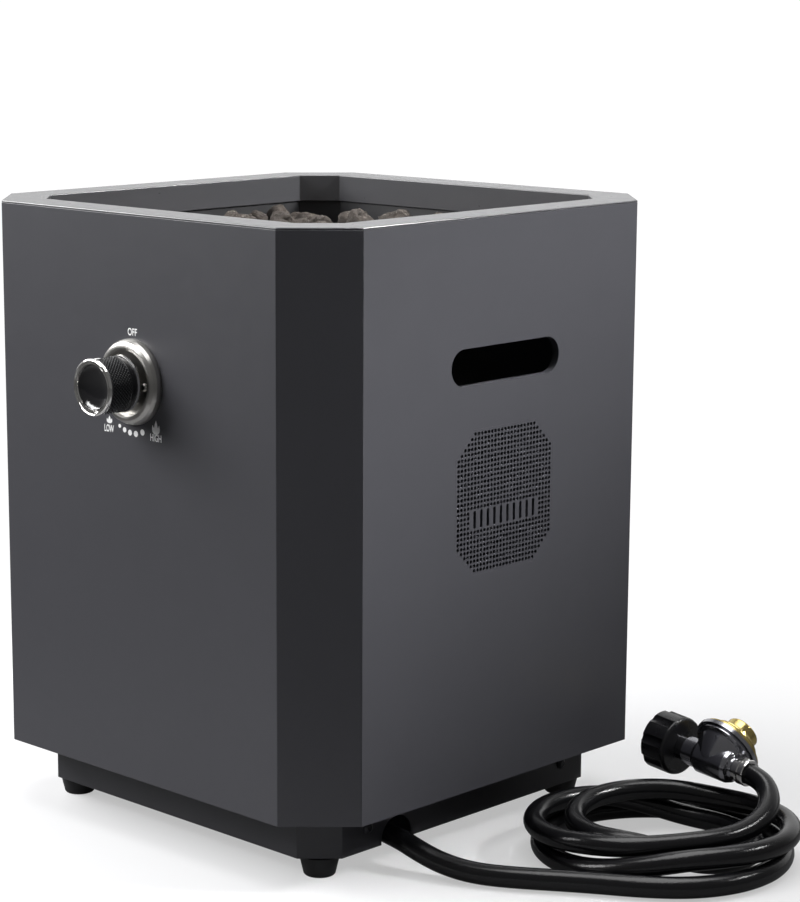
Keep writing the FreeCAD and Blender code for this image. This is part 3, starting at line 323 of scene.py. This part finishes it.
def material(name, colour, roughness, metallic=0.0, variation=0.08, grain=300, bump=0.15,
             bump_depth=0.0001, rough_spread=0.06, coat=0.0, second=None):
    """A surface whose colour, gloss and relief each vary with noise of a grain per metre."""
    made = bpy.data.materials.new(name)
    made.use_nodes = True
    tree = made.node_tree
    shader = tree.nodes["Principled BSDF"]
    shader.inputs["Metallic"].default_value = metallic
    if coat:
        shader.inputs["Coat Weight"].default_value = coat
        shader.inputs["Coat Roughness"].default_value = COAT_ROUGHNESS
    place = tree.nodes.new("ShaderNodeTexCoord").outputs["Object"]

    dark = [channel * (1 - variation) for channel in colour]
    light = second or [min(channel * (1 + variation), 1) for channel in colour]
    mix = tree.nodes.new("ShaderNodeMix")
    mix.data_type = "RGBA"
    mix.inputs["A"].default_value = (*dark, 1)
    mix.inputs["B"].default_value = (*light, 1)
    patches = noise_value(tree, place, grain / COLOUR_COARSER, detail=4)
    tree.links.new(patches, mix.inputs["Factor"])
    tree.links.new(mix.outputs["Result"], shader.inputs["Base Color"])

    gloss = tree.nodes.new("ShaderNodeMapRange")
    gloss.inputs["To Min"].default_value = max(roughness - rough_spread, LEAST_ROUGHNESS)
    gloss.inputs["To Max"].default_value = roughness + rough_spread
    wear = noise_value(tree, place, grain / GLOSS_COARSER, detail=3)
    tree.links.new(wear, gloss.inputs["Value"])
    tree.links.new(gloss.outputs["Result"], shader.inputs["Roughness"])

    if bump:
        height = noise_value(tree, place, grain * RELIEF_FINER, detail=2)
        add_relief(tree, height, bump, bump_depth)
    return made


def turned_metal(name, colour, roughness, centre, axis):
    """Metal with the fine rings that a lathe or a brush leaves round an axis."""
    made = material(name, colour, roughness, metallic=1.0, variation=0.05, grain=200, bump=0)
    tree = made.node_tree
    place = tree.nodes["Texture Coordinate"].outputs["Object"]
    offset = vector_math(tree, "SUBTRACT", place, centre)
    rings = tree.nodes.new("ShaderNodeCombineXYZ")
    tree.links.new(vector_math(tree, "DOT_PRODUCT", offset, axis), rings.inputs["X"])
    across = vector_math(tree, "CROSS_PRODUCT", offset, axis)
    tree.links.new(vector_math(tree, "LENGTH", across), rings.inputs["Y"])
    height = noise_value(tree, rings.outputs["Vector"], LATHE_RINGS, detail=3)
    add_relief(tree, height, LATHE_RELIEF, LATHE_DEPTH)
    return made


def make_materials():
    """Every finish on the object, by the record's material slot."""
    made = {name: material(name, **look) for name, look in FINISHES.items()}
    nut, cap = middle_of("hand_nut"), middle_of("regulator_cap")
    along_nut = tuple((nut - middle_of("hose_ferrule")).normalized())
    along_cap = tuple((cap - middle_of("regulator_cover")).normalized())
    made["stainless"] = turned_metal("stainless", (0.46, 0.45, 0.43), 0.3, KNOB, (0, 1, 0))
    made["brass"] = turned_metal("brass", (0.66, 0.52, 0.20), 0.22, cap, along_cap)
    made["plain_brass"] = turned_metal("plain_brass", (0.62, 0.44, 0.20), 0.3, nut, along_nut)
    return made


def dress_nodes(finishes):
    """Gives each carried-over node its slot's finish, or its own where the picture differs."""
    for entry in frame["record"]["subparts"]:
        node = nodes[entry["node"]]
        node.data.materials.clear()
        node.data.materials.append(
            finishes[OWN_FINISH.get(entry["node"], entry["material_slot"])]
        )


# Pieces

def add_piece(name, data, finish, body, place=(0, 0, 0), turn=(0, 0, 0), stretch=(1, 1, 1)):
    """Puts a mesh, curve or text in the scene with its finish, slot and body."""
    data.materials.append(finish)
    piece = bpy.data.objects.new(name, data)
    bpy.context.scene.collection.objects.link(piece)
    piece.location = place
    piece.rotation_euler = turn
    piece.scale = stretch
    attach(piece, body)
    return piece


def add_mesh(name, mesh_builder, finish, body, smooth=True):
    """Turns a bmesh into a piece."""
    mesh = bpy.data.meshes.new(name)
    mesh_builder.to_mesh(mesh)
    mesh_builder.free()
    for polygon in mesh.polygons:
        polygon.use_smooth = smooth
    return add_piece(name, mesh, finish, body)


# Soft edges: radius in millimetres, and the shortest edge that gets it

SOFT_EDGES = {
    "front_wrap": (0.55, 5),
    "rear_wrap": (0.55, 5),
    "right_side": (0.55, 5),
    "left_side": (0.55, 5),
    "top_rim": (0.7, 5),
    "base_skirt": (0.5, 5),
    "foot_front_left": (0.5, 0.2),
    "foot_front_right": (0.5, 0.2),
    "foot_rear_left": (0.5, 0.2),
    "foot_rear_right": (0.5, 0.2),
    "hand_nut": (0.8, 3),
    "regulator_cap": (0.4, 0.2),
    "regulator_body": (0.4, 3),
    "regulator_cover": (0.3, 3),
    "knob_cap": (0.15, 1),
    "return_spring": (0.2, 1),
}
WELD_DISTANCE = 0.002
FLAT_ANGLE = math.radians(0.4)
SHARP_ANGLE = math.radians(28)
SHADED_SHARP_ANGLE = math.radians(32)


def soften(name, width, shortest, finishes):
    """A copy of a node whose long sharp edges are rounded over, in the node's place."""
    entry = next(item for item in frame["record"]["subparts"] if item["node"] == name)
    builder = bmesh.new()
    builder.from_mesh(nodes[name].data)
    bmesh.ops.remove_doubles(builder, verts=builder.verts, dist=WELD_DISTANCE * MM)
    bmesh.ops.dissolve_limit(
        builder, angle_limit=FLAT_ANGLE, verts=builder.verts, edges=builder.edges
    )
    sharp = [
        edge for edge in builder.edges
        if len(edge.link_faces) == 2 and edge.calc_face_angle(0) > SHARP_ANGLE
        and edge.calc_length() > shortest * MM
    ]
    bmesh.ops.bevel(
        builder, geom=sharp, offset=width * MM, offset_type="OFFSET", segments=3, profile=0.5,
        affect="EDGES", clamp_overlap=True,
    )
    slot = entry["material_slot"]
    bodies = frame["record"]["behaviour"]["bodies"]
    body = next(owner for owner, held in bodies.items() if name in held)
    finish = finishes[OWN_FINISH.get(name, slot)]
    piece = add_mesh("soft_" + name, builder, finish, body)
    piece.data.set_sharp_from_angle(angle=SHADED_SHARP_ANGLE)
    weighted = piece.modifiers.new("weighted", "WEIGHTED_NORMAL")
    weighted.keep_sharp = True
    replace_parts(piece, name)
    return piece


def shorten_spring():
    """Gives the softened return spring a mesh of its own."""
    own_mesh(softened["return_spring"])


# Knob, in millimetres

POINTER_SIZE = (2.6, 4.4, 0.8)
POINTER_SETBACK = 3.4
POINTER_SINK = 0.28
POINTER_EDGE = 0.25
GRIP_STEPS_ROUND, GRIP_STEPS_LONG = 440, 84
GRIP_WALL = 3
GRIP_COLLAR = 6.6
KNURL_DIAMONDS = 48
KNURL_DEPTH = 0.9
GROOVE_WIDTH, GROOVE_DEPTH = 4, 0.6
# Shares of the grip's length: where the knurl runs out, and from the knurl to the groove
KNURL_FADE = 0.03
GROOVE_START = 0.02


def make_pointer(finishes):
    """The white bar on top of the grip that points at the printed words."""
    low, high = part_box("knob_grip")
    top = (high[0] - low[0]) / 2
    middle = (0, low[1] + POINTER_SETBACK * MM, KNOB.z + top - POINTER_SINK * MM)
    builder = bmesh.new()
    bmesh.ops.create_cube(builder, size=1)
    bmesh.ops.scale(builder, verts=builder.verts, vec=[side * MM for side in POINTER_SIZE])
    bmesh.ops.translate(builder, verts=builder.verts, vec=middle)
    bmesh.ops.bevel(
        builder, geom=builder.edges[:], offset=POINTER_EDGE * MM, segments=2, profile=0.5,
        affect="EDGES",
    )
    add_mesh("knob_pointer", builder, finishes["label_white"], "knob")


def on_knob(reach, angle, y):
    """A place at a reach and an angle round the knob's axis."""
    return (reach * math.sin(angle), y, KNOB.z + reach * math.cos(angle))


def grip_reach(angle, part, radius, length):
    """The grip's reach from its axis: diamonds on the front part, a groove behind them."""
    collar = 1 - GRIP_COLLAR * MM / length
    if part < collar:
        turn = KNURL_DIAMONDS * angle / (2 * math.pi)
        climb = part * length * KNURL_DIAMONDS / (2 * math.pi * radius)
        left = abs((turn + climb) % 1 - 0.5) * 2
        right = abs((turn - climb) % 1 - 0.5) * 2
        edge = min(part / KNURL_FADE, (collar - part) / KNURL_FADE, 1)
        return radius - KNURL_DEPTH * MM * (1 - min(left, right)) * edge
    if GROOVE_START < part - collar < GROOVE_START + GROOVE_WIDTH * MM / length:
        return radius - GROOVE_DEPTH * MM
    return radius


def stitch(builder, first, second):
    """Closes the gap between two rings with faces."""
    for column in range(len(first)):
        following = (column + 1) % len(first)
        builder.faces.new((
            first[column], second[column], second[following], first[following]
        ))


def make_grip(finishes):
    """The knob's grip with a diamond knurl cut in its front part."""
    low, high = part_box("knob_grip")
    length = high[1] - low[1]
    radius = (high[0] - low[0]) / 2
    angles = [2 * math.pi * column / GRIP_STEPS_ROUND for column in range(GRIP_STEPS_ROUND)]
    builder = bmesh.new()

    def ring(reaches, y):
        return [
            builder.verts.new(on_knob(reach, angle, y)) for reach, angle in zip(reaches, angles)
        ]

    rows = []
    for row in range(GRIP_STEPS_LONG + 1):
        part = row / GRIP_STEPS_LONG
        reaches = [grip_reach(angle, part, radius, length) for angle in angles]
        rows.append(ring(reaches, low[1] + part * length))
    for first, second in zip(rows, rows[1:]):
        stitch(builder, first, second)
    inner = [radius - GRIP_WALL * MM] * GRIP_STEPS_ROUND
    stitch(builder, ring(inner, low[1]), rows[0])
    stitch(builder, rows[-1], ring(inner, high[1]))
    return add_mesh("grip_knurl", builder, finishes["grip_black"], "knob")


# Lava rock, in millimetres

STONE_SEED = 11
STONE_TRIES = 5000
STONE_RADII = (6.5, 11)
STONE_STRETCH = ((0.85, 1.1), (0.8, 1), (0.75, 0.95))
# A stone's middle above the bed's floor, and how near another surface may come, in its radii
STONE_REST = 0.95
STONE_CLEAR = 0.88
STONE_APART = 0.84
# Some stones are lifted onto others; the high ones keep this far from the casing's middle
UPPER_SHARE = 0.4
UPPER_LIFT = (9, 15)
HIGH_FROM = 14
HIGH_CLEAR = 95
# Relief: scale per metre and height; pores lie where the noise falls below minus their edge
COARSE_SCALE, COARSE_HEIGHT = 95, 2.4
FINE_SCALE, FINE_HEIGHT = 330, 1.6
PORE_SCALE, PORE_HEIGHT, PORE_EDGE = 520, 2.4, 0.18


def small_stones(builder):
    """Smaller stones in the gaps of the bed, clear of the large ones, bowl and burner."""
    taken = bmesh.new()
    for name in ("lava_rocks", "fire_bowl", "burner", "burner_pipe", "burner_nut"):
        taken.from_mesh(nodes[name].data)
    solid = BVHTree.FromBMesh(taken)
    taken.free()
    low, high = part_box("lava_rocks")
    draw = random.Random(STONE_SEED)
    placed = []
    for _ in range(STONE_TRIES):
        radius = draw.uniform(*STONE_RADII) * MM
        x, y = draw.uniform(low[0], high[0]), draw.uniform(low[1], high[1])
        place = Vector((x, y, low[2] + radius * STONE_REST))
        if draw.random() < UPPER_SHARE:
            place.z += draw.uniform(*UPPER_LIFT) * MM
        beside = Vector((place.x, place.y - CASING.y, 0))
        if place.z - low[2] > HIGH_FROM * MM and beside.length < HIGH_CLEAR * MM:
            continue
        if solid.find_nearest(place)[3] < radius * STONE_CLEAR:
            continue
        if any((place - other).length < STONE_APART * (radius + size) for other, size in placed):
            continue
        placed.append((place, radius))
        turned = Matrix.Translation(place) @ Matrix.Rotation(draw.uniform(0, 6), 4, "Z")
        stretch = [draw.uniform(*span) for span in STONE_STRETCH]
        bmesh.ops.create_icosphere(
            builder, subdivisions=3, radius=radius, matrix=turned @ Matrix.Diagonal((*stretch, 1))
        )


def make_rocks(finishes):
    """The bed of lava rock: the frame's stones with smaller ones between, broken up by noise."""
    builder = bmesh.new()
    builder.from_mesh(nodes["lava_rocks"].data)
    bmesh.ops.remove_doubles(builder, verts=builder.verts, dist=0.01 * MM)
    bmesh.ops.subdivide_edges(
        builder, edges=builder.edges, cuts=7, smooth=0.22, use_grid_fill=True
    )
    small_stones(builder)
    builder.normal_update()
    for vertex in builder.verts:
        coarse = noise.noise(vertex.co * COARSE_SCALE) * COARSE_HEIGHT
        fine = noise.noise(vertex.co * FINE_SCALE) * FINE_HEIGHT
        pores = min(0, noise.noise(vertex.co * PORE_SCALE) + PORE_EDGE) * PORE_HEIGHT
        vertex.co += vertex.normal * (coarse + fine + pores) * MM
    piece = add_mesh("lava_bed", builder, finishes["lava"], "casing")
    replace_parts(piece, "lava_rocks")


# Printed marks round the knob: heights and places in millimetres from the knob's axis

# Word, place, height and how far its letters are narrowed
WORDS = (
    ("OFF", 0, 36.3, 5.4, 0.8),
    ("LOW", -27.8, -38.2, 5.4, 0.62),
    ("HIGH", 24.4, -39, 5.4, 0.7),
)
# Place and width
DOTS = (
    (-15.6, -34.7, 3.0),
    (-10.2, -36.9, 3.9),
    (-4.2, -38.3, 4.3),
    (2.4, -38.4, 4.6),
    (9.7, -36.4, 4.6),
)
# Place, width and height
FLAMES = {"small": (-27.2, -31.2, 6.4, 5.8), "large": (24.6, -31, 8.6, 10.4)}
# The right half of a flame, from foot to tip, in shares of its width and height
FLAME_HALF = (
    (0, -0.5), (0.28, -0.46), (0.44, -0.32), (0.5, -0.12), (0.47, 0.06), (0.40, 0.2),
    (0.33, 0.06), (0.24, -0.02), (0.2, 0.1), (0.15, 0.26), (0.07, 0.4), (0.02, 0.5),
)
PRINT_LIFT, PRINT_DEPTH = 0.06, 0.05
LETTER_LIFT, LETTER_DEPTH, LETTER_WEIGHT = 0.03, 0.02, 0.14
SIZE_FOR_HEIGHT = 1.38
DOT_STEPS = 32


def print_shape(name, outline, finishes):
    """A flat printed mark on the front face, from one closed outline."""
    builder = bmesh.new()
    y = FRONT_Y - PRINT_LIFT * MM
    front = [builder.verts.new((x * MM, y, KNOB.z + z * MM)) for x, z in outline]
    builder.faces.new(front)
    made = bmesh.ops.extrude_face_region(builder, geom=builder.faces[:])
    moved = [item for item in made["geom"] if isinstance(item, bmesh.types.BMVert)]
    bmesh.ops.translate(builder, verts=moved, vec=(0, PRINT_DEPTH * MM, 0))
    bmesh.ops.recalc_face_normals(builder, faces=builder.faces)
    add_mesh(name, builder, finishes["label_white"], "casing", smooth=False)


def dot_outline(x, z, width):
    """A round dot."""
    angles = [2 * math.pi * step / DOT_STEPS for step in range(DOT_STEPS)]
    return [(x + width / 2 * math.cos(a), z + width / 2 * math.sin(a)) for a in angles]


def flame_outline(x, z, width, height):
    """A flame: a round foot with three tongues, the middle one tallest, the left one lower."""
    points = [(x + across * width, z + up * height) for across, up in FLAME_HALF]
    points += [
        (x - across * width, z + (up * 0.94 - 0.03) * height)
        for across, up in reversed(FLAME_HALF[1:-1])
    ]
    return points


def make_labels(finishes):
    """The words OFF, LOW and HIGH, growing dots, and a small and a large flame."""
    for word, x, z, height, narrow in WORDS:
        name = "word_" + word.lower()
        data = bpy.data.curves.new(name, "FONT")
        data.body = word
        data.size = height * SIZE_FOR_HEIGHT * MM
        data.align_x = data.align_y = "CENTER"
        data.extrude = LETTER_DEPTH * MM
        data.offset = LETTER_WEIGHT * MM
        add_piece(
            name, data, finishes["label_white"], "casing",
            place=(x * MM, FRONT_Y - LETTER_LIFT * MM, KNOB.z + z * MM),
            turn=(math.pi / 2, 0, 0),
            stretch=(narrow, 1, 1),
        )
    for number, dot in enumerate(DOTS, start=1):
        print_shape("dot_%d" % number, dot_outline(*dot), finishes)
    for size, flame in FLAMES.items():
        print_shape("flame_" + size, flame_outline(*flame), finishes)


# Gas hose: the route's points are in millimetres, counted from the middle of the casing

HOSE_WIDTH = 16
HOSE_LEAD = [
    (140, -85.5, 25.6), (168, -85.5, 22.333), (186, -84.5, 17), (206, -81, 11.2),
    (230, -75, 8.4), (256, -63, 8.4), (300, -32, 8.4),
]
COIL_MIDDLE = Vector((292, 69, 0))
COIL_ACROSS = Vector((math.sqrt(0.5), math.sqrt(0.5), 0))
COIL_AWAY = Vector((-math.sqrt(0.5), math.sqrt(0.5), 0))
COIL_FROM, COIL_TO = -0.04, 3.0
COIL_STEPS = 16
# The coil's reach at each quarter turn, and its height at a number of turns
COIL_REACH = [91, 92, 91, 91, 77, 98, 64, 66, 42, 73, 74.5, 97.5, 55, 58]
COIL_HEIGHTS = [
    (-1, 8.4), (0.82, 8.4), (1.06, 25.5), (1.36, 25.5), (1.50, 32.5), (1.57, 32.5),
    (1.84, 25.5), (1.88, 25.5), (2.12, 8.4), (2.41, 8.4), (2.60, 25.5), (2.78, 25.9),
    (2.90, 28.2), (3.1, 28.2),
]
# From the coil's end to the ferrule, counted from the coil's middle: across, away, up
HOSE_TAIL = [
    (34, -48, 29.6), (57, -34, 31), (75.5, -14, 37.5), (82, 8, 45), (77.4, 28.3, 52.3),
    (64.6, 43.7, 53.7),
]


def coil_place(across, away, height):
    """A place counted from the coil's middle."""
    return COIL_MIDDLE + COIL_ACROSS * across + COIL_AWAY * away + Vector((0, 0, height))


def coil_point(turn):
    """The hose's middle line: reach by a smooth curve through the quarters, height by steps."""
    last = len(COIL_REACH) - 1
    quarter = min(max(math.floor(turn * 4), 0), last - 1)
    part = turn * 4 - quarter
    before, start, end, after = [COIL_REACH[min(max(quarter + i, 0), last)] for i in (-1, 0, 1, 2)]
    start_slope, end_slope = (end - before) / 2, (after - start) / 2
    square, cube = part ** 2, part ** 3
    reach = (2 * cube - 3 * square + 1) * start + (cube - 2 * square + part) * start_slope
    reach += (3 * square - 2 * cube) * end + (cube - square) * end_slope
    height = COIL_HEIGHTS[0][1]
    for (low_turn, low), (high_turn, high) in zip(COIL_HEIGHTS, COIL_HEIGHTS[1:]):
        if low_turn <= turn <= high_turn:
            swing = math.pi * (turn - low_turn) / (high_turn - low_turn)
            height = low + (high - low) * (1 - math.cos(swing)) / 2
    angle = 2 * math.pi * turn - math.pi / 2
    return coil_place(reach * math.cos(angle), reach * math.sin(angle), height)


def make_hose(finishes):
    """The free hose from the arch in the plinth, round its three loose turns, to the ferrule."""
    count = round((COIL_TO - COIL_FROM) * COIL_STEPS)
    turns = [COIL_FROM + (COIL_TO - COIL_FROM) * i / count for i in range(count + 1)]
    points = [Vector(point) for point in HOSE_LEAD]
    points += [coil_point(turn) for turn in turns]
    points += [coil_place(*point) for point in HOSE_TAIL]
    data = bpy.data.curves.new("gas_hose", "CURVE")
    data.dimensions = "3D"
    data.bevel_depth = HOSE_WIDTH / 2 * MM
    data.bevel_resolution = 10
    data.resolution_u = 10
    data.use_fill_caps = True
    spline = data.splines.new("NURBS")
    spline.points.add(len(points) - 1)
    for point, target in zip(points, spline.points):
        target.co = (point.x * MM, point.y * MM + CASING.y, point.z * MM, 1)
    spline.order_u = 3
    spline.use_endpoint_u = True
    hose = add_piece("gas_hose", data, finishes["hose_rubber"], "casing")
    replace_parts(hose, "hose_lead", "hose_coil", "hose_tail")


make_camera()
make_stage()
finishes = make_materials()
dress_nodes(finishes)
softened = {
    name: soften(name, width, shortest, finishes)
    for name, (width, shortest) in SOFT_EDGES.items()
}
make_hose(finishes)
make_rocks(finishes)
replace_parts(make_grip(finishes), "knob_grip")
make_labels(finishes)
make_pointer(finishes)
shorten_spring()

bpy.context.scene.view_settings.view_transform = "Standard"
